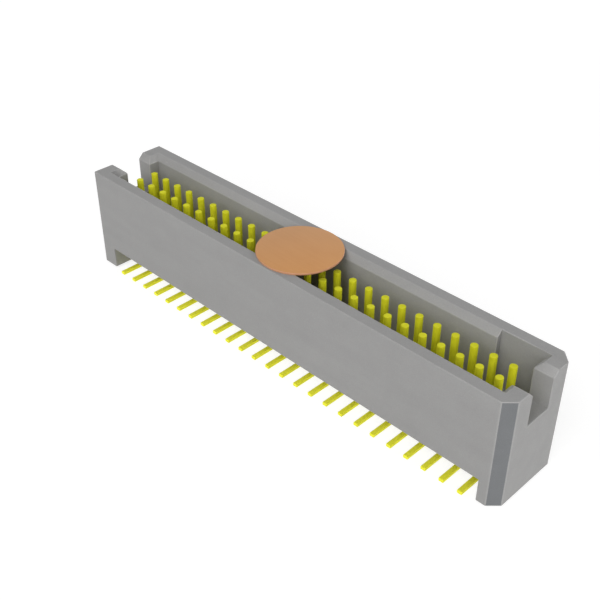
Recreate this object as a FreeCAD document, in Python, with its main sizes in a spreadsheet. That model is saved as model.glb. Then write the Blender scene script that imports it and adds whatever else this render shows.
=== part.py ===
import FreeCAD, Part
import os
import Sketcher

# A shrouded two-row pin header for surface mounting, in millimetres.
# The origin lies on the board plane under the middle of the body. +X runs along the
# rows towards the end with the cut corners, -Y is the front and +Z leaves the board.

# Driving dimensions: name, size, what it is
SIZES = (
    ("positions", 25, "contacts in each row"),
    ("pitch", 1.27, "contact to contact along a row"),
    ("row_spacing", 1.27, "front row to back row"),
    ("end_allowance", 3.18, "body length beyond one pitch for each position"),
    ("body_width", 5.72, "outside of front wall to outside of back wall"),
    ("rim_height", 7.51, "rim of the shroud above the board"),
    ("foot_standoff", 0.15, "underside of the feet above the board"),
    ("foot_length", 1.27, "length of each end foot along X"),
    ("underside", 1.68, "underside of the body between the feet, above the board"),
    ("floor_thickness", 2.02, "moulded floor that holds the contacts"),
    ("side_wall", 1.12, "thickness of the long walls"),
    ("end_wall", 1.27, "thickness of the end walls"),
    ("lead_in", 0.38, "45 degree chamfer round the mouth of the cavity"),
    ("slot_width", 1.92, "width of the slot in each end wall"),
    ("slot_depth", 2.43, "depth of the end slots below the rim"),
    ("key_length", 2.81, "keying recess in the back wall, from the right end wall"),
    ("key_depth", 0.38, "keying recess into the back wall"),
    ("corner_cut", 0.64, "cut across each upright corner of the right end"),
    ("pin_diameter", 0.46, "round mating pin"),
    ("pin_recess", 0.63, "pin tips below the rim"),
    ("tip_break", 0.03, "chamfer on a pin's tip"),
    ("shank_side", 0.46, "square shank that holds the contact in the floor"),
    ("hole_clearance", 0.02, "gap round a shank in its square hole"),
    ("collar_diameter", 0.80, "collar that seats under the floor"),
    ("collar_length", 0.40, "length of the collar"),
    ("collar_clearance", 0.01, "gap round a collar in its seat"),
    ("seat_depth", 0.90, "collar's seat above the underside"),
    ("tail_width", 0.33, "width of the coined leg and solder tail"),
    ("tail_thickness", 0.22, "thickness of the coined leg and solder tail"),
    ("bend_radius", 0.20, "inside radius of the leg's bend"),
    ("tail_overhang", 0.14, "solder tail beyond the long walls"),
    ("pad_diameter", 5.46, "pick-and-place pad"),
    ("pad_thickness", 0.13, "thickness of the pad's film"),
)

# Lengths and heights that follow from them
COUNT = "round(sizes.positions)"
HALF_LENGTH = f"({COUNT} * sizes.pitch + sizes.end_allowance) / 2"
HALF_WIDTH = "sizes.body_width / 2"
INNER_END = f"({HALF_LENGTH} - sizes.end_wall)"
INNER_SIDE = f"({HALF_WIDTH} - sizes.side_wall)"
FLOOR = "(sizes.underside + sizes.floor_thickness)"
SEAT = "(sizes.underside + sizes.seat_depth)"
COLLAR_BOTTOM = f"({SEAT} - sizes.collar_length)"
CHAMFER_FOOT = "(sizes.rim_height - sizes.lead_in)"
PIN_TOP = "(sizes.rim_height - sizes.pin_recess)"
FIRST_CONTACT = f"-({COUNT} - 1) / 2 * sizes.pitch"
FRONT_ROW = "-sizes.row_spacing / 2"
BACK_ROW = "sizes.row_spacing / 2"

FULL_TURN = 360
HALF_TURN = 180
SAME_PLACE = 1e-4

doc = FreeCAD.newDocument("pin_header")
sizes = doc.addObject("Spreadsheet::Sheet", "sizes")
for line, (alias, size, meaning) in enumerate(SIZES, start=1):
    sizes.set(f"A{line}", meaning)
    sizes.set(f"B{line}", str(size))
    sizes.setAlias(f"B{line}", alias)
doc.recompute()


def new_body(label):
    """One moulded, formed or cut piece."""
    body = doc.addObject("PartDesign::Body", label)
    body.Label = label
    return body


def origin_feature(body, role):
    return next(item for item in body.Origin.OriginFeatures if item.Role == role)


def new_sketch(body, name, plane, offset="0"):
    """An empty sketch on one of the body's own origin planes, moved along its normal."""
    sketch = body.newObject("Sketcher::SketchObject", name)
    sketch.AttachmentSupport = [(origin_feature(body, plane), "")]
    sketch.MapMode = "FlatFace"
    sketch.setExpression("AttachmentOffset.Base.z", offset)
    return sketch


def measure(sketch, kind, references, expression):
    """A driving dimension that follows the sheet."""
    place = sketch.addConstraint(
        Sketcher.Constraint(kind, *references, sketch.evalExpression(expression))
    )
    sketch.setExpression(f"Constraints[{place}]", expression)


def fix_point(sketch, element, end, across, up):
    """Hold one end of an element at its distances from the sketch's origin."""
    measure(sketch, "DistanceX", (-1, 1, element, end), across)
    measure(sketch, "DistanceY", (-1, 1, element, end), up)


def point(sketch, across, up):
    return FreeCAD.Vector(sketch.evalExpression(across), sketch.evalExpression(up), 0)


def draw_outline(sketch, corners):
    """A closed outline of straight edges; each corner is a pair of expressions."""
    places = [point(sketch, across, up) for across, up in corners]
    edges = [
        sketch.addGeometry(Part.LineSegment(here, there))
        for here, there in zip(places, places[1:] + places[:1])
    ]
    for edge, following, (across, up) in zip(edges, edges[1:] + edges[:1], corners):
        sketch.addConstraint(Sketcher.Constraint("Coincident", edge, 2, following, 1))
        fix_point(sketch, edge, 1, across, up)


def draw_rectangle(sketch, left, right, bottom, top):
    draw_outline(sketch, [(left, bottom), (right, bottom), (right, top), (left, top)])


def draw_square(sketch, across, up, side):
    draw_rectangle(
        sketch,
        f"{across} - ({side}) / 2",
        f"{across} + ({side}) / 2",
        f"{up} - ({side}) / 2",
        f"{up} + ({side}) / 2",
    )


def draw_circle(sketch, across, up, diameter):
    radius = sketch.evalExpression(diameter) / 2
    normal = FreeCAD.Vector(0, 0, 1)
    circle = sketch.addGeometry(Part.Circle(point(sketch, across, up), normal, radius))
    fix_point(sketch, circle, 3, across, up)
    measure(sketch, "Diameter", (circle,), diameter)


def new_pad(body, name, sketch, length):
    pad = body.newObject("PartDesign::Pad", name)
    pad.Profile = sketch
    pad.setExpression("Length", length)
    return pad


def new_pocket(body, name, sketch, length=None, symmetric=False, reverse=False):
    """Cut the sketch into the body, to a length or right through it."""
    doc.recompute()
    before = body.Shape.Volume
    pocket = body.newObject("PartDesign::Pocket", name)
    pocket.Profile = sketch
    pocket.Type = "Length" if length else "ThroughAll"
    pocket.SideType = "Symmetric" if symmetric else "One side"
    pocket.Reversed = reverse
    if length:
        pocket.setExpression("Length", length)
    doc.recompute()
    if not body.Shape.Volume < before:
        raise RuntimeError(f"{name} cuts nothing")
    return pocket


def mouth_edges(shape):
    """Names of the rim's inner edges: the cavity's mouth and the edges of its end slots."""
    rim = float(sizes.rim_height)
    inner_side = sizes.evalExpression(INNER_SIDE)
    half_length = sizes.evalExpression(HALF_LENGTH)
    names = []
    for number, edge in enumerate(shape.Edges, start=1):
        middle = edge.BoundBox.Center
        on_rim = edge.BoundBox.ZMin > rim - SAME_PLACE
        inside = abs(middle.y) < inner_side + SAME_PLACE
        at_an_end = abs(middle.x) > half_length - SAME_PLACE
        if on_rim and inside and not at_an_end:
            names.append(f"Edge{number}")
    return names


def make_housing():
    """The moulded body: raised on two end feet, with an open cavity round the pins."""
    body = new_body("housing")

    block = new_sketch(body, "block_outline", "XY_Plane", "sizes.foot_standoff")
    right_cut = f"{HALF_LENGTH} - sizes.corner_cut"
    side_cut = f"{HALF_WIDTH} - sizes.corner_cut"
    draw_outline(block, [
        (f"-{HALF_LENGTH}", f"-{HALF_WIDTH}"),
        (right_cut, f"-{HALF_WIDTH}"),
        (HALF_LENGTH, f"-({side_cut})"),
        (HALF_LENGTH, side_cut),
        (right_cut, HALF_WIDTH),
        (f"-{HALF_LENGTH}", HALF_WIDTH),
    ])
    new_pad(body, "block", block, "sizes.rim_height - sizes.foot_standoff")

    between_feet = f"({HALF_LENGTH} - sizes.foot_length)"
    relief = new_sketch(body, "relief_outline", "XZ_Plane")
    draw_rectangle(relief, f"-{between_feet}", between_feet, "0", "sizes.underside")
    new_pocket(body, "underside_relief", relief, symmetric=True)

    cavity = new_sketch(body, "cavity_outline", "XY_Plane", "sizes.rim_height")
    draw_rectangle(cavity, f"-{INNER_END}", INNER_END, f"-{INNER_SIDE}", INNER_SIDE)
    new_pocket(body, "cavity", cavity, f"sizes.rim_height - {FLOOR}")

    slots = new_sketch(body, "slot_outline", "YZ_Plane")
    slot_side = "sizes.slot_width / 2"
    slot_floor = "sizes.rim_height - sizes.slot_depth"
    draw_rectangle(slots, f"-{slot_side}", slot_side, slot_floor, "sizes.rim_height")
    end_slots = new_pocket(body, "end_slots", slots, symmetric=True)

    chamfer = body.newObject("PartDesign::Chamfer", "mouth_lead_in")
    chamfer.Base = (end_slots, mouth_edges(end_slots.Shape))
    chamfer.setExpression("Size", "sizes.lead_in")
    doc.recompute()

    # The right end wall keeps its chamfer above the keying recess.
    key = new_sketch(body, "key_outline", "XZ_Plane")
    key_start = f"{INNER_END} - sizes.key_length"
    draw_outline(key, [
        (key_start, FLOOR),
        (INNER_END, FLOOR),
        (INNER_END, CHAMFER_FOOT),
        (f"{INNER_END} + sizes.lead_in", "sizes.rim_height"),
        (key_start, "sizes.rim_height"),
    ])
    new_pocket(body, "keying_recess", key, f"{INNER_SIDE} + sizes.key_depth")

    holes = new_sketch(body, "hole_outline", "XY_Plane", FLOOR)
    seats = new_sketch(body, "seat_outline", "XY_Plane", "sizes.underside")
    for row in (FRONT_ROW, BACK_ROW):
        draw_square(holes, FIRST_CONTACT, row, "sizes.shank_side + 2 * sizes.hole_clearance")
        draw_circle(seats, FIRST_CONTACT, row, "sizes.collar_diameter + 2 * sizes.collar_clearance")
    first_holes = new_pocket(body, "first_holes", holes)
    first_seats = new_pocket(body, "first_seats", seats, "sizes.seat_depth", reverse=True)

    pattern = body.newObject("PartDesign::LinearPattern", "contact_holes")
    pattern.Originals = [first_holes, first_seats]
    pattern.Direction = (origin_feature(body, "X_Axis"), [""])
    pattern.Mode = "Spacing"
    pattern.setExpression("Offset", "sizes.pitch")
    pattern.setExpression("Occurrences", COUNT)
    body.Tip = pattern
    doc.recompute()
    return body


def draw_leg_path(sketch, start, reach):
    """Down from the collar, round one bend and out along the board."""
    middle = "sizes.tail_thickness / 2"
    bend = f"sizes.bend_radius + {middle}"
    radius = sketch.evalExpression(bend)
    top = sketch.evalExpression(start)
    low = sketch.evalExpression(middle)
    tip = sketch.evalExpression(reach)
    centre = FreeCAD.Vector(-radius, low + radius, 0)
    upright_end = FreeCAD.Vector(0, low + radius, 0)
    tail_start = FreeCAD.Vector(-radius, low, 0)
    arc_middle = centre + FreeCAD.Vector(radius, -radius, 0) / 2 ** 0.5
    leg = sketch.addGeometry(Part.LineSegment(FreeCAD.Vector(0, top, 0), upright_end))
    arc = sketch.addGeometry(Part.Arc(upright_end, arc_middle, tail_start))
    tail = sketch.addGeometry(Part.LineSegment(tail_start, FreeCAD.Vector(-tip, low, 0)))
    # Part.Arc runs anticlockwise, so its first end is the one on the tail.
    sketch.addConstraint(Sketcher.Constraint("Tangent", leg, 2, arc, 2))
    sketch.addConstraint(Sketcher.Constraint("Tangent", arc, 1, tail, 1))
    sketch.addConstraint(Sketcher.Constraint("Vertical", leg))
    sketch.addConstraint(Sketcher.Constraint("Horizontal", tail))
    fix_point(sketch, leg, 1, "0", start)
    fix_point(sketch, tail, 2, f"-({reach})", middle)
    measure(sketch, "Radius", (arc,), bend)


def make_contact(label, number, row, turn):
    """A wire contact about its pin's axis, with its tail towards -Y before it is turned."""
    body = new_body(label)
    collar = new_sketch(body, "collar_outline", "XY_Plane", COLLAR_BOTTOM)
    draw_circle(collar, "0", "0", "sizes.collar_diameter")
    new_pad(body, "collar", collar, "sizes.collar_length")

    shank = new_sketch(body, "shank_outline", "XY_Plane", SEAT)
    draw_square(shank, "0", "0", "sizes.shank_side")
    new_pad(body, "shank", shank, f"{FLOOR} - {SEAT}")

    side = "sizes.pin_diameter / 2"
    outline = new_sketch(body, "pin_outline", "XZ_Plane")
    draw_outline(outline, [
        ("0", FLOOR),
        (side, FLOOR),
        (side, f"{PIN_TOP} - sizes.tip_break"),
        (f"{side} - sizes.tip_break", PIN_TOP),
        ("0", PIN_TOP),
    ])
    pin = body.newObject("PartDesign::Revolution", "mating_pin")
    pin.Profile = outline
    pin.ReferenceAxis = (origin_feature(body, "Z_Axis"), [""])
    pin.Angle = FULL_TURN

    # The coined leg starts inside the collar, so that the wire is one piece.
    leg_top = f"({COLLAR_BOTTOM} + sizes.collar_length / 2)"
    section = new_sketch(body, "leg_section", "XY_Plane", leg_top)
    across = "sizes.tail_width / 2"
    deep = "sizes.tail_thickness / 2"
    draw_rectangle(section, f"-{across}", across, f"-{deep}", deep)
    path = new_sketch(body, "leg_path", "YZ_Plane")
    draw_leg_path(path, leg_top, f"{HALF_WIDTH} + sizes.tail_overhang - {BACK_ROW}")
    leg = body.newObject("PartDesign::AdditivePipe", "leg_and_tail")
    leg.Profile = section
    leg.Spine = path

    body.Placement.Rotation = FreeCAD.Rotation(FreeCAD.Vector(0, 0, 1), turn)
    body.setExpression("Placement.Base.x", f"{FIRST_CONTACT} + {number - 1} * sizes.pitch")
    body.setExpression("Placement.Base.y", row)
    return body


def make_pad():
    """The film disc that a placement nozzle lifts, lying on the rim at mid-length."""
    body = new_body("pick_and_place_pad")
    outline = new_sketch(body, "pad_outline", "XY_Plane", "sizes.rim_height")
    draw_circle(outline, "0", "0", "sizes.pad_diameter")
    new_pad(body, "film", outline, "sizes.pad_thickness")
    return body


pieces = [make_housing()]
for number in range(1, round(sizes.positions) + 1):
    pieces.append(make_contact(f"contact_front_{number:02d}", number, FRONT_ROW, 0))
    pieces.append(make_contact(f"contact_back_{number:02d}", number, BACK_ROW, HALF_TURN))
pieces.append(make_pad())
doc.recompute()

for item in doc.Objects:
    if {"Invalid", "Error"} & set(item.State):
        raise RuntimeError(f"{item.Label} did not rebuild: {item.State}")
for piece in pieces:
    if piece.Shape.isNull() or not piece.Shape.isValid():
        raise RuntimeError(f"{piece.Label} has no sound shape")

os.makedirs("parts", exist_ok=True)
for piece in pieces:
    piece.Shape.exportStep(f"parts/{piece.Label}.step")
    print(piece.Label, len(piece.Shape.Solids), round(piece.Shape.Volume, 4))
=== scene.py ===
# %% [markdown]
# A shrouded pin header for surface mounting: one grey moulding with an open trough, two rows of
# gold-plated wire contacts that stand in its floor, and a thin amber film disc on the rim that a
# placement machine picks it up by. The packed part gives each piece's place and outer size, and
# the few inner sizes written here are the part's own too. This script gives each piece its
# finished skin and its material, and then sets a table, lamps and a camera.

# %% Load the packed part
import math

import bmesh
import bpy
import numpy as np
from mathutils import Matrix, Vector


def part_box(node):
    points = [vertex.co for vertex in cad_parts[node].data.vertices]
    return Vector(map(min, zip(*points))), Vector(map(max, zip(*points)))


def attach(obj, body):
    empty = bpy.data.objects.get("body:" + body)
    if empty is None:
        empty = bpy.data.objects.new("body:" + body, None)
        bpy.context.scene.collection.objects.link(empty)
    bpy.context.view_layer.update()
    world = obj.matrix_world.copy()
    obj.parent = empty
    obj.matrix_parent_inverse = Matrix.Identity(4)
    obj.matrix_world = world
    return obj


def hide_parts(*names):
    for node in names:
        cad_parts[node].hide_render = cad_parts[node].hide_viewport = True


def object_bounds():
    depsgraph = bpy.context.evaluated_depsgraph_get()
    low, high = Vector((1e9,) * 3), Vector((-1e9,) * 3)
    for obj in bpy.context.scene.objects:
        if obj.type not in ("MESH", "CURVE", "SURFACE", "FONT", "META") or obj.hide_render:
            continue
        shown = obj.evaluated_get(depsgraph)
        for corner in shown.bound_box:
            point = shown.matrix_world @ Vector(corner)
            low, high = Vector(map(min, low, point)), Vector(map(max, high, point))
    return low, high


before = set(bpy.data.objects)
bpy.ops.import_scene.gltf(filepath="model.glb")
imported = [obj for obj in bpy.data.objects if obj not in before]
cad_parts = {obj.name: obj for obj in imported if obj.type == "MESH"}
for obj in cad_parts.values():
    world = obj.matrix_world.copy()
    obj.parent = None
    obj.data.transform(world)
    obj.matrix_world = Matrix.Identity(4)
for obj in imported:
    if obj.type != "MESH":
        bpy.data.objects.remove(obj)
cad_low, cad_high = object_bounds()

MM = 0.001
part_size = cad_high - cad_low
part_middle = (cad_low + cad_high) / 2
print("nodes", len(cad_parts), "size in mm", [round(side / MM, 2) for side in part_size])

# %% [markdown]
# Every piece, lamp and camera is an object that holds some data: a mesh, a lamp or a lens. They
# could be added one by one with Blender's own add commands, but those change the selection and
# the name. Two small helpers do it plainly. The second one also shades a mesh smooth and keeps
# its hard edges hard, because a moulding and a wire have both rounds and sharp edges.

# %% New objects
SHARP_ANGLE = math.radians(35)


def add_object(name, data):
    """A new object at the origin, unturned, that holds the data."""
    made = bpy.data.objects.new(name, data)
    bpy.context.collection.objects.link(made)
    return made


def smooth_piece(name, mesh):
    """A piece whose faces run smoothly into each other where they meet at a low angle."""
    mesh.polygons.foreach_set("use_smooth", np.ones(len(mesh.polygons), bool))
    mesh.set_sharp_from_angle(angle=SHARP_ANGLE)
    return add_object(name, mesh)


print("edges stay hard from", round(math.degrees(SHARP_ANGLE)), "degrees")

# %% [markdown]
# The contacts and the disc are long or flat things with a simple cross-section. They could be
# cylinders pushed about by hand, but a skin over rings is more exact: a ring is the outline of
# one cross-section, and the skin joins each ring to the next. The rings come as one array of
# shape rings x points x 3, so the whole piece is worked out at once. The first and last rings are
# closed with flat faces. The points run anticlockwise as seen from the last ring, and so every
# face looks outward.

# %% A skin over a stack of rings
def skin_faces(rings, points):
    """Four corners for each patch between ring i and ring i + 1, and one face over each end."""
    ring, point = np.meshgrid(np.arange(rings - 1), np.arange(points), indexing="ij")
    following = (point + 1) % points
    corners = np.stack(
        [
            ring * points + point,
            ring * points + following,
            (ring + 1) * points + following,
            (ring + 1) * points + point,
        ],
        axis=-1,
    )
    first_end = np.arange(points)[::-1]
    last_end = (rings - 1) * points + np.arange(points)
    return corners.reshape(-1, 4).tolist() + [first_end.tolist(), last_end.tolist()]


def skin(name, places):
    """A closed piece whose surface passes through every ring in turn."""
    rings, points, _ = places.shape
    mesh = bpy.data.meshes.new(name)
    mesh.from_pydata(places.reshape(-1, 3), [], skin_faces(rings, points))
    return smooth_piece(name, mesh)


print("faces of a skin over 3 rings of 8 points", len(skin_faces(3, 8)))

# %% [markdown]
# A material is a graph of nodes, and its arithmetic soon fills a screen. It could be drawn by
# hand in the shader editor, but a sum reads better as a sum. So `Socket` wraps one output of a
# node, and each operator on it adds the Math node that does it.

# %% Sums of sockets
class Socket:
    """A socket that can stand in a sum with numbers and other sockets."""

    def __init__(self, finish, socket):
        self.finish = finish
        self.socket = socket

    def math(self, operation, *values):
        return self.finish.add("ShaderNodeMath", {"operation": operation}, dict(enumerate(values)))

    def __add__(self, other):
        return self.math("ADD", self, other)

    def __sub__(self, other):
        return self.math("SUBTRACT", self, other)

    def __rsub__(self, other):
        return self.math("SUBTRACT", other, self)

    def __mul__(self, other):
        return self.math("MULTIPLY", self, other)

    __radd__ = __add__
    __rmul__ = __mul__

    def between(self, low, high):
        """0 at low, 1 at high, and held to that span outside."""
        inputs = {"Value": self, "From Min": low, "From Max": high}
        return self.finish.add("ShaderNodeMapRange", {"clamp": True}, inputs)


print("sums of sockets know", [name for name in vars(Socket) if name not in vars(object)])

# %% [markdown]
# `Finish` holds one material. Node groups could hold the parts that materials share, but methods
# are easier to read and to change. Its `add` method makes any node from its type, its settings
# and what goes into its sockets, and the short methods after it are the nodes that every finish
# here is built from: a scaled place, a noise, a blend of two colours and a bump. The Mix node has
# sockets for numbers and for vectors before those for colours, so its colours go by number.

# %% One finish and its nodes
MIX_FACTOR = 0
MIX_FIRST_COLOUR = 6
MIX_SECOND_COLOUR = 7
MIX_COLOUR_OUTPUT = 2


class Finish:
    """One material and the nodes that make it."""

    def __init__(self, name):
        self.material = bpy.data.materials.new(name)
        self.material.use_nodes = True
        self.nodes = self.material.node_tree.nodes
        self.links = self.material.node_tree.links
        self.shader = self.nodes["Principled BSDF"]

    def put(self, node, key, value):
        """A link where the value is a wire, and the socket's own number or colour where not."""
        if isinstance(value, Socket):
            self.links.new(value.socket, node.inputs[key])
        else:
            node.inputs[key].default_value = value

    def add(self, kind, settings=None, inputs=None, output=0):
        """A new node with its settings and its sockets filled, as one of its outputs."""
        node = self.nodes.new(kind)
        for key, value in (settings or {}).items():
            setattr(node, key, value)
        for key, value in (inputs or {}).items():
            self.put(node, key, value)
        return Socket(self, node.outputs[output])

    def place(self, per_mm, source=None):
        """Object coordinates, or another vector, scaled so that 1 is one cell of a pattern."""
        if source is None:
            source = self.add("ShaderNodeTexCoord", output="Object")
        scale = Vector(per_mm) / MM
        return self.add("ShaderNodeMapping", None, {"Vector": source, "Scale": scale})

    def noise(self, vector, detail=2.0, roughness=0.5):
        """A soft random pattern between 0 and 1."""
        inputs = {"Vector": vector, "Scale": 1.0, "Detail": detail, "Roughness": roughness}
        return self.add("ShaderNodeTexNoise", None, inputs, "Fac")

    def blend(self, factor, first, second):
        """One colour at 0 and the other at 1."""
        inputs = {MIX_FACTOR: factor, MIX_FIRST_COLOUR: first, MIX_SECOND_COLOUR: second}
        return self.add("ShaderNodeMix", {"data_type": "RGBA"}, inputs, MIX_COLOUR_OUTPUT)

    def bump(self, height, strength, depth):
        """A normal that leans as it would if the height were really there."""
        inputs = {"Height": height, "Strength": strength, "Distance": depth}
        return self.add("ShaderNodeBump", None, inputs)

    def surface(self, **inputs):
        """Feeds the shader; a name's underscores stand for spaces."""
        for key, value in inputs.items():
            self.put(self.shader, key.replace("_", " "), value)
        return self.material


print("a finish can", [name for name in vars(Finish) if not name.startswith("_")])

# %% [markdown]
# Real surfaces are never equally rough all over. One number for the roughness would look like a
# drawing, so each finish lets it swing a little round its middle value with the pattern that it
# already has. A noise lies between 0 and 1, and its middle is a half.

# %% Greys and swings
NOISE_MIDDLE = 0.5


def grey(value, warmth=0.0):
    """A grey that leans to red where the warmth is positive, and to blue where it is negative."""
    return (value + warmth, value, value - warmth, 1)


def swing(pattern, width):
    """The pattern about zero, from minus half the width to plus half of it."""
    return width * (pattern - NOISE_MIDDLE)


print("a warm grey", grey(0.3, 0.01))

# %% [markdown]
# The housing is injection moulded from a glass-filled polymer. Such a moulding is never one flat
# grey: the melt leaves faint flow bands along its length, the glass leaves fine pale flecks, and
# the mould's spark-eroded walls leave a fine matt texture. A photograph of a moulding could be
# laid on it, but noise at those three scales gives the same look from any distance, on all sides.
# A broad, cloudy noise joins them, so that the bands aren't too even. A fleck shows only where
# its noise is high.

# %% Patterns of the moulding
# cells of each pattern per mm, along X, Y and Z
FLOW_BANDS = (0.12, 1.1, 0.9)
CLOUDS = (0.9, 0.9, 0.9)
FLECKS = (9.0, 14.0, 14.0)
MATT_TEXTURE = (13.0, 13.0, 13.0)
FLECK_SPAN = (0.66, 0.74)


def moulding_patterns(finish):
    """Four noises, each at its own scale."""
    bands = finish.noise(finish.place(FLOW_BANDS), detail=3.0)
    clouds = finish.noise(finish.place(CLOUDS), detail=4.0, roughness=0.6)
    flecks = finish.noise(finish.place(FLECKS), detail=1.0).between(*FLECK_SPAN)
    texture = finish.noise(finish.place(MATT_TEXTURE), detail=3.0, roughness=0.65)
    return bands, clouds, flecks, texture


print("flow bands in mm", [round(1 / cells, 2) for cells in FLOW_BANDS])

# %% [markdown]
# The tone takes a share of each pattern, and swings a few percent to either side of the piece's
# own grey. The flecks are paler and smoother than the polymer round them. Displaced geometry could
# give the matt texture, but it is far finer than a face of the mesh, so a shallow bump does it.

# %% The moulded polymer
BAND_SHARE = 0.3
CLOUD_SHARE = 0.25
TEXTURE_SHARE = 0.45
TONE_SPAN = (0.34, 0.66)
TONE_SWING = 0.09
FLECK_STRENGTH = 0.22
FLECK_PALENESS = 1.5
FLECK_SHINE = 0.08
CLOUD_ROUGHNESS = 0.16
TEXTURE_ROUGHNESS = 0.10
TEXTURE_STRENGTH = 0.6
POLYMER_IOR = 1.45


def moulded_polymer(name, value, warmth, roughness, texture_depth):
    """The polymer in one grey, with one middle roughness and one depth of texture."""
    finish = Finish(name)
    bands, clouds, flecks, texture = moulding_patterns(finish)
    pattern = BAND_SHARE * bands + CLOUD_SHARE * clouds + TEXTURE_SHARE * texture
    darker = grey((1 - TONE_SWING) * value, warmth)
    paler = grey((1 + TONE_SWING) * value, warmth)
    tone = finish.blend(pattern.between(*TONE_SPAN), darker, paler)
    matt = roughness + swing(clouds, CLOUD_ROUGHNESS) + swing(texture, TEXTURE_ROUGHNESS)
    return finish.surface(
        Base_Color=finish.blend(flecks * FLECK_STRENGTH, tone, grey(FLECK_PALENESS * value)),
        Roughness=matt - FLECK_SHINE * flecks,
        Normal=finish.bump(texture, TEXTURE_STRENGTH, texture_depth),
        IOR=POLYMER_IOR,
    )


print("shares add up to", BAND_SHARE + CLOUD_SHARE + TEXTURE_SHARE)

# %% [markdown]
# Three places on the housing differ in finish. Its walls are matt. Its outer edges are paler and
# smoother: partly wear from handling, and partly a painted highlight along the rims. The cut
# corner, which marks the first position, is painted darker and bluer than the walls on both sides
# of it, though it is turned as much to the light: that is painted shade, not a tone of its own.

# %% Walls, edges and the marked corner
# grey value, warmth, roughness and depth of the matt texture
WALL_LOOK = (0.30, 0.001, 0.54, 0.012 * MM)
# the edges' paler grey is partly wear and partly painted highlight
EDGE_WEAR_AND_HIGHLIGHT_LOOK = (0.325, 0.001, 0.36, 0.006 * MM)
# the cut corner's darker, bluer grey is painted shade
CORNER_SHADE_LOOK = (0.163, -0.008, 0.50, 0.012 * MM)

wall_finish = moulded_polymer("moulded_polymer", *WALL_LOOK)
# the edge finish: wear and a painted highlight on the rounded strips
edge_wear_and_highlight_finish = moulded_polymer("rubbed_edge_and_painted_highlight", *EDGE_WEAR_AND_HIGHLIGHT_LOOK)
# the cut corner's finish: the polymer with painted shade
corner_shade_finish = moulded_polymer("corner_painted_shade", *CORNER_SHADE_LOOK)
print("housing finishes", wall_finish.name, edge_wear_and_highlight_finish.name, corner_shade_finish.name)

# %% [markdown]
# The packed solid already has the housing's exact shape, but its edges are perfectly sharp, and
# no mould has such an edge: a small round is what catches the light along a rim. It could be
# modelled again from nothing, but a copy whose outer edges are rounded can't drift from the
# solid. The inner corners and the small contact holes stay sharp, as a mould leaves them. The
# holes lie at and under the trough's floor, within a short reach of the rows.

# %% Which edges are rounded
SAME_POINT = 0.0001 * MM
CORNER_ANGLE = math.radians(30)
FLOOR_HEIGHT = 3.70 * MM
ROW_OFFSET = 0.635 * MM
HOLE_REACH = 0.45 * MM
COLLAR_RADIUS = 0.40 * MM
last_pin_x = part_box("contact_front_25")[1][0] - COLLAR_RADIUS


def is_outer_edge(edge):
    """Turned outward by more than the corner angle, and its middle not at a contact hole."""
    x, y, z = (edge.verts[0].co + edge.verts[1].co) / 2
    near_rows = abs(x) < last_pin_x + HOLE_REACH and abs(y) < ROW_OFFSET + HOLE_REACH
    at_hole = near_rows and z < FLOOR_HEIGHT + SAME_POINT
    return edge.is_convex and edge.calc_face_angle(0) > CORNER_ANGLE and not at_hole


print("last pin's x in mm", round(last_pin_x / MM, 3))

# %% [markdown]
# A packed mesh is loose triangles. So the copy is merged first, and its flat areas are joined
# again, so that the bevel finds only the real edges. A Bevel modifier could round them too, but it
# would choose edges by angle alone and round the contact holes. The bevel's new strips take the
# rubbed finish, paler partly from wear and partly as a painted highlight, which is the housing's
# second material, so its number is 1.

# %% The housing with rounded edges
EDGE_ROUND = 0.05 * MM
ROUND_STEPS = 3
CIRCULAR_PROFILE = 0.5
FLAT_ANGLE = math.radians(1)
EDGE_WEAR_AND_HIGHLIGHT_MATERIAL = 1


def rounded_copy(name, node):
    """The packed mesh, merged, with its outer edges rounded into strips of the edge material."""
    cells = bmesh.new()
    cells.from_mesh(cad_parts[node].data)
    bmesh.ops.remove_doubles(cells, verts=cells.verts, dist=SAME_POINT)
    bmesh.ops.dissolve_limit(
        cells, angle_limit=FLAT_ANGLE, verts=cells.verts, edges=cells.edges
    )
    bmesh.ops.bevel(
        cells,
        geom=[edge for edge in cells.edges if is_outer_edge(edge)],
        affect="EDGES",
        offset=EDGE_ROUND,
        segments=ROUND_STEPS,
        profile=CIRCULAR_PROFILE,
        material=EDGE_WEAR_AND_HIGHLIGHT_MATERIAL,
    )
    mesh = bpy.data.meshes.new(name)
    cells.to_mesh(mesh)
    cells.free()
    return smooth_piece(name, mesh)


housing = rounded_copy("moulding", "housing")
print("housing faces", len(housing.data.polygons))

# %% [markdown]
# The marked corner is the one large face that looks along +X and -Y at once. It could be picked by
# its number in the mesh, but that changes with the part's sizes, and its normal and its area still
# find it then. The corner's painted shade is the housing's third material, number 2.

# %% The marked corner
MARKED_WAY = np.array([1, -1, 0]) / math.sqrt(2)
SAME_WAY = 0.999
LEAST_MARK_AREA = 1 * MM * MM
CORNER_SHADE_MATERIAL = 2


def marked_faces(mesh):
    """Faces whose normal lies along the marked way and whose area is more than the least."""
    normals = np.empty(3 * len(mesh.polygons), np.float32)
    areas = np.empty(len(mesh.polygons), np.float32)
    mesh.polygons.foreach_get("normal", normals)
    mesh.polygons.foreach_get("area", areas)
    return (normals.reshape(-1, 3) @ MARKED_WAY > SAME_WAY) & (areas > LEAST_MARK_AREA)


marked = marked_faces(housing.data)
material_numbers = np.empty(len(marked), np.int32)
housing.data.polygons.foreach_get("material_index", material_numbers)
# the cut corner's faces take the painted shade material
material_numbers[marked] = CORNER_SHADE_MATERIAL
housing.data.polygons.foreach_set("material_index", material_numbers)
print("marked faces", int(marked.sum()))

# %% [markdown]
# The materials go on in the order of their numbers. Smooth shading would bend the light on a
# large face toward its rounded strips, and make a flat wall look puffed up. Flat shading would
# show each strip. Weighted normals, with the weight all on the largest faces, keep the walls flat
# and the strips round.

# %% The housing's place in the part
LARGE_FACES_DECIDE = 100

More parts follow.
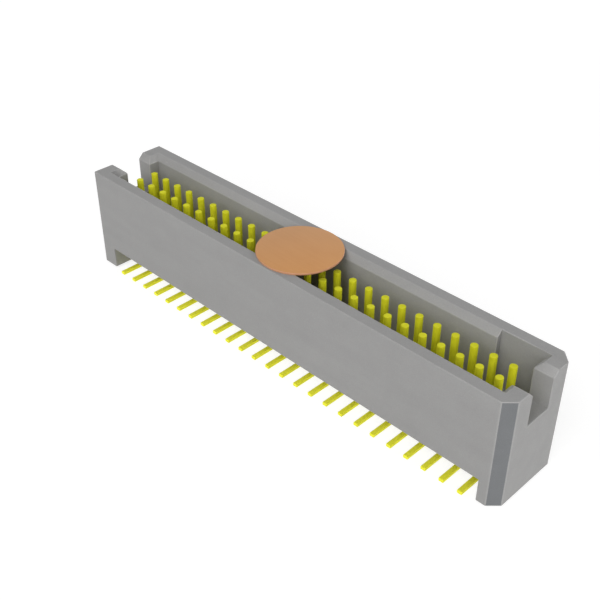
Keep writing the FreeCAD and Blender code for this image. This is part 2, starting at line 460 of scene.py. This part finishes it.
for finish in (wall_finish, edge_wear_and_highlight_finish, corner_shade_finish):
    housing.data.materials.append(finish)
flat_faces = housing.modifiers.new("flat faces", "WEIGHTED_NORMAL")
flat_faces.keep_sharp = True
flat_faces.weight = LARGE_FACES_DECIDE
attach(housing, "root")
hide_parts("housing")
print("housing materials", [finish.name for finish in housing.data.materials])

# %% [markdown]
# The contacts are plated with gold over nickel. The plating is satin, not mirror bright, and on
# drawn wire it shows fine lines along the wire, a little duller and deeper in tone where the layer
# is thin. The solder tail is painted paler, which is painted light where the housing's overhang
# shades it, and the tip is painted deeper, which is painted shade on its brightly lit top. Lines
# in space would run straight through the bend. So each contact's mesh carries a vector that gives
# every point its place in the wire as it was before bending. The pattern reads that vector, so the
# lines follow the wire, and the tip and the tail are found by their distance along it.

# %% Tones of the plating
# where it is thick, and where it is thin
PIN_TONES = ((0.70, 0.70, 0.034, 1), (0.62, 0.615, 0.022, 1))
# the tail's paler tones are painted light, where the housing shades the tail
TAIL_PAINTED_LIGHT_TONES = ((0.83, 0.825, 0.08, 1), (0.74, 0.735, 0.06, 1))
# the tip's deeper tone is painted shade on its lit top
TIP_PAINTED_SHADE_TONE = (0.56, 0.56, 0.03, 1)
# distances from the tip over which one tone gives way to the next
TIP_PAINTED_SHADE_SPAN = (0, 0.06 * MM)
TAIL_PAINTED_LIGHT_SPAN = (4.3 * MM, 4.7 * MM)


def plating_tone_and_painted_light(finish, thin, along):
    """The tip's painted shade, then the pin's tone, then the tail's painted light, by the distance
    along the wire.
    """
    pin_tone = finish.blend(thin, *PIN_TONES)
    tail_painted_light_tone = finish.blend(thin, *TAIL_PAINTED_LIGHT_TONES)
    # paler towards the tail: painted light
    tone = finish.blend(along.between(*TAIL_PAINTED_LIGHT_SPAN), pin_tone, tail_painted_light_tone)
    # deeper at the tip: painted shade
    return finish.blend(1 - along.between(*TIP_PAINTED_SHADE_SPAN), tone, TIP_PAINTED_SHADE_TONE)


print("the tail's tone begins in mm", round(TAIL_PAINTED_LIGHT_SPAN[0] / MM, 1), "from the tip")

# %% [markdown]
# The drawn lines are a noise stretched along the wire: dozens of cells per mm across it, and less
# than one along it. They could be cut into the mesh, but they are a few thousandths deep, so a
# faint bump does it.

# %% The gold plating
DRAWN_LINES = (34.0, 34.0, 0.7)
PLATING_CLOUDS = (1.3, 1.3, 1.3)
DRAWN_LINE_SHARE = 0.45
PLATING_CLOUD_SHARE = 0.55
THIN_SPAN = (0.38, 0.64)
PLATE_METAL = 0.9
PLATE_ROUGHNESS = 0.74
THIN_ROUGHNESS = 0.14
LINE_ROUGHNESS = 0.06
LINE_STRENGTH = 0.25
LINE_DEPTH = 0.003 * MM


def gold_plating():
    """Satin gold with drawn lines, which reads each point's place in the wire."""
    finish = Finish("gold_plating")
    place_in_wire = {"attribute_name": "place_in_wire"}
    in_wire = finish.add("ShaderNodeAttribute", place_in_wire, None, "Vector")
    along = finish.add("ShaderNodeSeparateXYZ", None, {"Vector": in_wire}, "Z")
    lines = finish.noise(finish.place(DRAWN_LINES, in_wire), detail=2.0)
    clouds = finish.noise(finish.place(PLATING_CLOUDS), detail=3.0)
    thin = (DRAWN_LINE_SHARE * lines + PLATING_CLOUD_SHARE * clouds).between(*THIN_SPAN)
    return finish.surface(
        Base_Color=plating_tone_and_painted_light(finish, thin, along),
        Roughness=PLATE_ROUGHNESS + THIN_ROUGHNESS * thin + LINE_ROUGHNESS * lines,
        Metallic=PLATE_METAL,
        Normal=finish.bump(lines, LINE_STRENGTH, LINE_DEPTH),
    )


contact_finish = gold_plating()
print("contact finish", contact_finish.name, "nodes", len(contact_finish.node_tree.nodes))

# %% [markdown]
# One contact is one length of wire. It is round where it mates, square where it is held in the
# floor, upset into a collar under the floor, and coined flat below that, where it bends out into
# the solder tail. It could be a cylinder, two boxes and a bent strip, with gaps between them, but
# the real one is one piece. All four outlines are one formula: a box with round corners, which is
# a circle when the corner radius is half its width. So a list of stations along the wire, each
# with the half widths and the corner radius of its outline, describes the whole contact. It
# starts at the tip, whose sheared edge is broken by a small round.

# %% Stations of the pin's tip
PIN_RADIUS = 0.23 * MM
WIRE_EDGE = 0.03 * MM
PIN_EDGE_TURNS = np.radians([90, 65, 40, 15, 0])
contact_low, contact_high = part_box("contact_front_01")
pin_top = contact_high[2]


def round_station(height, radius):
    """A circle: its half widths and its corner radius are all its radius."""
    return (height, radius, radius, radius)


# each station: height, half width, half thickness, corner radius
pin_stations = [
    round_station(
        pin_top - WIRE_EDGE * (1 - math.sin(turn)),
        PIN_RADIUS - WIRE_EDGE * (1 - math.cos(turn)),
    )
    for turn in PIN_EDGE_TURNS
]
print("tip stations", len(pin_stations), "pin top in mm", round(pin_top / MM, 3))

# %% [markdown]
# Going down, the pin meets the floor and turns square, the square shank ends at the seat, and the
# collar sticks out there and holds the contact down. Where the outline jumps, two stations stand
# at almost or exactly the same height, and the skin between them is the flat shoulder.

# %% Stations from the floor to the leg
SHANK_HALF = 0.23 * MM
LEG_HALF_WIDTH = 0.165 * MM
LEG_HALF_THICKNESS = 0.11 * MM
SEAT_HEIGHT = 2.58 * MM
COLLAR_BOTTOM = 2.18 * MM

upright_stations = pin_stations + [
    round_station(FLOOR_HEIGHT + WIRE_EDGE, PIN_RADIUS),
    (FLOOR_HEIGHT, SHANK_HALF, SHANK_HALF, 2 * WIRE_EDGE),
    (SEAT_HEIGHT, SHANK_HALF, SHANK_HALF, 2 * WIRE_EDGE),
    round_station(SEAT_HEIGHT, COLLAR_RADIUS - WIRE_EDGE),
    round_station(SEAT_HEIGHT - WIRE_EDGE, COLLAR_RADIUS),
    round_station(COLLAR_BOTTOM + WIRE_EDGE, COLLAR_RADIUS),
    round_station(COLLAR_BOTTOM, COLLAR_RADIUS - WIRE_EDGE),
    (COLLAR_BOTTOM, LEG_HALF_WIDTH, LEG_HALF_THICKNESS, WIRE_EDGE),
]
print("upright stations", len(upright_stations))

# %% [markdown]
# Below the collar the wire turns through a quarter circle and lies flat on the board. A curve
# with a bevel could draw that, but it would have one outline all along. Here a height is not
# enough, so each station gets its place and how far the wire has turned. The rings stay square to
# the wire, and the tail keeps its full width and thickness round the bend.

# %% Stations of the bend and the tail
BEND_RADIUS = 0.20 * MM + LEG_HALF_THICKNESS
BEND_STEPS = 12
QUARTER_TURN = math.pi / 2
LEG_OUTLINE = (LEG_HALF_WIDTH, LEG_HALF_THICKNESS, WIRE_EDGE)
TAIL_END_EDGE = WIRE_EDGE / 2
TAIL_END_OUTLINE = (
    LEG_HALF_WIDTH - TAIL_END_EDGE,
    LEG_HALF_THICKNESS - TAIL_END_EDGE,
    TAIL_END_EDGE,
)
tail_reach = contact_high[1] - COLLAR_RADIUS - contact_low[1]


def wire_stations():
    """Each ring's place (y, z), its turn from upright, and its outline.

    Upright stations stand on the pin's axis. The bend's stations lie on an arc about a centre
    one bend radius out and one above the tail's middle, from no turn to a quarter turn.
    """
    upright = np.array(upright_stations)
    upright_place = np.stack([np.zeros(len(upright)), upright[:, 0]], axis=1)
    turn = np.linspace(0, QUARTER_TURN, BEND_STEPS + 1)
    centre = np.array([-BEND_RADIUS, LEG_HALF_THICKNESS + BEND_RADIUS])
    bend_place = centre + BEND_RADIUS * np.stack([np.cos(turn), -np.sin(turn)], axis=1)
    tail_y = np.array([-tail_reach + TAIL_END_EDGE, -tail_reach])
    tail_place = np.stack([tail_y, np.full(2, LEG_HALF_THICKNESS)], axis=1)
    place = np.concatenate([upright_place, bend_place, tail_place])
    turns = np.concatenate([np.zeros(len(upright)), turn, np.full(2, QUARTER_TURN)])
    outline = np.concatenate(
        [upright[:, 1:], np.tile(LEG_OUTLINE, (len(turn) + 1, 1)), [TAIL_END_OUTLINE]]
    )
    return place, turns, outline


print("tail's reach from the pin's axis in mm", round(tail_reach / MM, 3))

# %% [markdown]
# Last, each station's outline is drawn as a ring of points. The same sums give every point's
# place in the straight wire, for the plating's lines. The points begin half a step round, so
# that none lies in the middle of a flat side, where the formula changes from one corner to the
# next.

# %% Rings of the whole contact
FULL_TURN = 2 * math.pi
POINTS_ROUND = 32
HALF_STEP = 0.5


def wire_rings():
    """Every point of the contact about its own axis, and its place in the straight wire.

    The corner centres stand in from the half widths by the corner radius, and each point is its
    corner centre plus the radius along its own angle. The thickness direction turns with the
    bend.
    """
    place, turns, outline = wire_stations()
    angle = -(np.arange(POINTS_ROUND) + HALF_STEP) / POINTS_ROUND * FULL_TURN
    width, thickness, corner = outline[:, 0:1], outline[:, 1:2], outline[:, 2:3]
    across = (width - corner) * np.sign(np.cos(angle)) + corner * np.cos(angle)
    deep = (thickness - corner) * np.sign(np.sin(angle)) + corner * np.sin(angle)
    y = place[:, 0:1] + deep * np.cos(turns)[:, None]
    z = place[:, 1:2] - deep * np.sin(turns)[:, None]
    steps = np.linalg.norm(np.diff(place, axis=0), axis=1)
    along = np.concatenate([[0], np.cumsum(steps)])[:, None] + 0 * across
    return np.stack([across, y, z], axis=-1), np.stack([across, deep, along], axis=-1)


contact_rings, contact_straight = wire_rings()
print("contact rings and points", contact_rings.shape[:2])

# %% [markdown]
# All fifty contacts come off one tool, so the same rings serve them all. They could be fifty
# instances of one mesh, but each stands for a part of its own, which has to carry its own place.
# A front contact is moved to its pin's place, and a back contact is turned half a turn about its
# pin first, so its tail points the other way.

# %% The fifty contacts
POSITIONS = 25
HALF_TURN = np.array([-1, -1, 1])


def place_contact(row, number, turned):
    """The shared rings, turned if need be, moved to the pin's axis and skinned."""
    node = f"contact_{row}_{number:02d}"
    low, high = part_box(node)
    middle_x = (low[0] + high[0]) / 2
    axis_y = low[1] + COLLAR_RADIUS if turned else high[1] - COLLAR_RADIUS
    rings = contact_rings * (HALF_TURN if turned else 1) + [middle_x, axis_y, 0]
    piece = skin(f"wire_{row}_{number:02d}", rings)
    straight = piece.data.attributes.new("place_in_wire", "FLOAT_VECTOR", "POINT")
    straight.data.foreach_set("vector", contact_straight.astype(np.float32).ravel())
    piece.data.materials.append(contact_finish)
    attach(piece, "root")
    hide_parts(node)
    return piece


contacts = [
    place_contact(row, number, row == "back")
    for row in ("front", "back")
    for number in range(1, POSITIONS + 1)
]
print("contacts", len(contacts), "faces each", len(contacts[0].data.polygons))

# %% [markdown]
# The pick-up pad is punched from polyimide film: amber, even in colour, with the faint rolling
# lines that a film has and a smooth, slightly waxy sheen. Film this thick over a dark trough
# could be made see-through, but the picture shows no pins through it, so it stays solid. Its
# punched edge is a shade pinker where the section shows.

# %% The amber film
ROLLING_LINES = (0.35, 6.0, 1.0)
FILM_CLOUDS = (0.5, 0.5, 0.5)
ROLLING_LINE_SHARE = 0.4
FILM_CLOUD_SHARE = 0.6
FILM_SPAN = (0.35, 0.65)
FILM_CLOUD_ROUGHNESS = 0.10
ROLLING_LINE_ROUGHNESS = 0.05
ROLLING_LINE_HEIGHT = 0.5
FILM_STRENGTH = 0.12
FILM_DEPTH = 0.01 * MM
FILM_IOR = 1.55


def amber_film(name, first, second, roughness):
    """The film between two tones, with one middle roughness."""
    finish = Finish(name)
    lines = finish.noise(finish.place(ROLLING_LINES), detail=3.0)
    clouds = finish.noise(finish.place(FILM_CLOUDS), detail=3.0)
    tone = (ROLLING_LINE_SHARE * lines + FILM_CLOUD_SHARE * clouds).between(*FILM_SPAN)
    satin = roughness + swing(clouds, FILM_CLOUD_ROUGHNESS) + swing(lines, ROLLING_LINE_ROUGHNESS)
    return finish.surface(
        Base_Color=finish.blend(tone, first, second),
        Roughness=satin,
        Normal=finish.bump(ROLLING_LINE_HEIGHT * lines + clouds, FILM_STRENGTH, FILM_DEPTH),
        IOR=FILM_IOR,
    )


# first colour, second colour and roughness
FACE_LOOK = ((0.57, 0.263, 0.080, 1), (0.60, 0.29, 0.101, 1), 0.42)
PUNCHED_LOOK = ((0.525, 0.257, 0.138, 1), (0.535, 0.263, 0.142, 1), 0.5)
film_finish = amber_film("amber_film", *FACE_LOOK)
film_edge_finish = amber_film("amber_film_edge", *PUNCHED_LOOK)
print("film finishes", film_finish.name, film_edge_finish.name)

# %% [markdown]
# A flat disc is a stack of circles too. A cylinder would do for its shape, but its edge would be
# perfectly sharp. The top and the underside are one flat face each, and between them a few
# circles round the punched edge off a little, so that it catches a thin line of light as a real
# edge does. The upper edge is the lower edge turned over.

# %% Circles of the disc
PAD_EDGE = 0.02 * MM
PAD_EDGE_TURNS = np.radians([-90, -60, -30, 0])
pad_low, pad_high = (np.array(corner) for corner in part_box("pick_and_place_pad"))
pad_radius = (pad_high[0] - pad_low[0]) / 2
low_radii = pad_radius - PAD_EDGE * (1 - np.cos(PAD_EDGE_TURNS))
low_heights = pad_low[2] + PAD_EDGE * (1 + np.sin(PAD_EDGE_TURNS))
pad_radii = np.concatenate([low_radii, low_radii[::-1]])
pad_heights = np.concatenate([low_heights, pad_low[2] + pad_high[2] - low_heights[::-1]])
print("pad radius in mm", round(pad_radius / MM, 3), "circles", len(pad_radii))

# %% [markdown]
# Each circle is drawn at its height: cosine and sine of the angle, times the radius. The skin's
# two end faces come last in the mesh, so every face before them belongs to the punched edge and
# takes the second material.

# %% The pick-up pad
PAD_POINTS = 160
END_FACES = 2
round_angle = np.arange(PAD_POINTS) / PAD_POINTS * FULL_TURN
pad_rings = np.stack(
    [
        pad_radii[:, None] * np.cos(round_angle),
        pad_radii[:, None] * np.sin(round_angle),
        pad_heights[:, None] + 0 * round_angle,
    ],
    axis=-1,
)
pad = skin("film_disc", pad_rings)
pad.data.materials.append(film_finish)
pad.data.materials.append(film_edge_finish)
pad_faces = len(pad.data.polygons)
on_the_edge = np.arange(pad_faces) < pad_faces - END_FACES
pad.data.polygons.foreach_set("material_index", on_the_edge.astype(np.int32))
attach(pad, "root")
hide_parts("pick_and_place_pad")
print("pad faces", pad_faces)

# %% [markdown]
# The picture has a pure white ground. A table that is lit until it is white would wash out the
# part. So the table shows white only to the camera and in mirror-like reflections, with room left
# for the part's own shadow, and to the part itself it is an ordinary pale table. The glow rises a
# little away from the part, where the lamps light the table less.

# %% The look of the table
TABLE_COLOUR = (0.80, 0.80, 0.80, 1)
SHADOW_SHARE = 0.34
NEAR_GLOW = 0.78
GLOW_RISE = (50 * MM, 200 * MM)
WHITE = (1, 1, 1, 1)


def seen_directly(finish):
    """1 for rays from the camera, off a mirror or through glass, and 0 for the rest."""
    names = ("Is Camera Ray", "Is Glossy Ray", "Is Transmission Ray")
    camera, mirror, glass = (finish.add("ShaderNodeLightPath", output=name) for name in names)
    return (camera + mirror + glass).between(0, 1)


def pale_table():
    """White with a soft shadow where it is seen directly, and plain and pale to the part."""
    finish = Finish("pale_table")
    plain = finish.add("ShaderNodeBsdfDiffuse", None, {"Color": TABLE_COLOUR})
    shadow_layer = finish.add("ShaderNodeBsdfDiffuse", None, {"Color": grey(SHADOW_SHARE)})
    place = finish.add("ShaderNodeTexCoord", output="Object")
    distance = finish.add("ShaderNodeVectorMath", {"operation": "LENGTH"}, {0: place}, "Value")
    colour = finish.blend(distance.between(*GLOW_RISE), grey(NEAR_GLOW), WHITE)
    glow = finish.add("ShaderNodeEmission", None, {"Color": colour, "Strength": 1.0})
    lit = finish.add("ShaderNodeAddShader", None, {0: shadow_layer, 1: glow})
    inputs = {0: seen_directly(finish), 1: plain, 2: lit}
    both = finish.add("ShaderNodeMixShader", None, inputs)
    finish.links.new(both.socket, finish.nodes["Material Output"].inputs["Surface"])
    finish.nodes.remove(finish.shader)
    return finish.material


table_finish = pale_table()
print("table nodes", len(table_finish.node_tree.nodes))

# %% [markdown]
# The table itself is one square face under the part. A plane from the add menu would do as well,
# but four corners say where it lies.

# %% The table
TABLE_SIZE = 1.2
half = TABLE_SIZE / 2
table_mesh = bpy.data.meshes.new("table")
table_corners = [(-half, -half, 0), (half, -half, 0), (half, half, 0), (-half, half, 0)]
table_mesh.from_pydata(table_corners, [], [(0, 1, 2, 3)])
table = add_object("table", table_mesh)
table.data.materials.append(table_finish)
print("table side in m", TABLE_SIZE)

# %% [markdown]
# Past the table's edge the camera sees the room, which is white in the same way. What lights the
# part is a dim and slightly cool room, so that no shadow is black.

# %% The room
ROOM_LIGHT = (0.155, 0.16, 0.17, 1)

world = bpy.data.worlds.new("room")
bpy.context.scene.world = world
world.use_nodes = True


class Room(Finish):
    """The world's nodes, used as a material's are."""

    def __init__(self, world):
        self.nodes = world.node_tree.nodes
        self.links = world.node_tree.links
        self.shader = self.nodes["Background"]


room = Room(world)
room.put(room.shader, "Color", room.blend(seen_directly(room), ROOM_LIGHT, WHITE))
print("room nodes", len(room.nodes))

# %% [markdown]
# The picture lights the part from the camera's side: the end wall is a little paler than the long
# wall, the rim's flat top is the darkest, and the trough is open to the light. One lamp at the
# camera would do that but looks flat, and leaves the back black. So one soft box stands beside
# the camera, one in front of the long wall and high enough to reach down the trough, a low one
# off the right end draws that end, and a low one behind lights the back. The low ones hardly
# touch the rim's flat top, which keeps it darker than the walls.

# %% Four soft boxes
LAMP_DISTANCE = 0.30
LAMP_SIDES = (0.24, 0.22)
LAMP_COLOUR = (1.0, 0.985, 0.965)
# azimuth and elevation in degrees, and power in watts
SOFT_BOXES = {
    "front_soft_box": (0, 46, 0.44),
    "camera_soft_box": (36, 28, 0.40),
    "end_soft_box": (104, 12, 0.34),
    "back_soft_box": (172, 6, 0.50),
}


def direction(azimuth, elevation):
    """Azimuth 0 is in front of the part, at -Y, and 90 degrees is at its right end, at +X."""
    level = math.cos(elevation)
    return Vector((math.sin(azimuth) * level, -math.cos(azimuth) * level, math.sin(elevation)))


def soft_box(name, azimuth, elevation, power):
    """A rectangular lamp on a sphere round the part's middle, turned to face it."""
    lamp = bpy.data.lights.new(name, "AREA")
    lamp.shape = "RECTANGLE"
    lamp.size, lamp.size_y = LAMP_SIDES
    lamp.energy = power
    lamp.color = LAMP_COLOUR
    towards = direction(math.radians(azimuth), math.radians(elevation))
    stand = add_object(name, lamp)
    stand.location = part_middle + towards * LAMP_DISTANCE
    stand.rotation_euler = towards.to_track_quat("Z", "Y").to_euler()


for name, place_and_power in SOFT_BOXES.items():
    soft_box(name, *place_and_power)
print("lamps", [lamp.name for lamp in bpy.data.lights])

# %% [markdown]
# The picture is an isometric view in mild perspective: the camera looks at the middle of the part
# along the diagonal of a cube, from 60 mm away, with an angle of view of 35 degrees. The camera
# could be turned by hand until the view looks right, but fitting it to the corners that the
# picture shows gave these numbers, and those corners then fall within a pixel or so.

# %% The camera
VIEW_AZIMUTH = math.radians(45)
VIEW_ELEVATION = math.atan(1 / math.sqrt(2))
VIEW_DISTANCE = 60.15 * MM
ANGLE_OF_VIEW = math.radians(35)
SENSOR = 36
NEAREST = 1 * MM
FARTHEST = 10

camera = add_object("camera", bpy.data.cameras.new("camera"))
camera.data.sensor_width = SENSOR
camera.data.lens = SENSOR / 2 / math.tan(ANGLE_OF_VIEW / 2)
camera.data.clip_start = NEAREST
camera.data.clip_end = FARTHEST
towards_camera = direction(VIEW_AZIMUTH, VIEW_ELEVATION)
camera.location = part_middle + towards_camera * VIEW_DISTANCE
camera.rotation_euler = towards_camera.to_track_quat("Z", "Y").to_euler()
bpy.context.scene.camera = camera
bpy.context.scene.view_settings.view_transform = "Standard"
print("lens in mm", round(camera.data.lens, 2))

# %% [markdown]
# The looks must not change the size of the part.
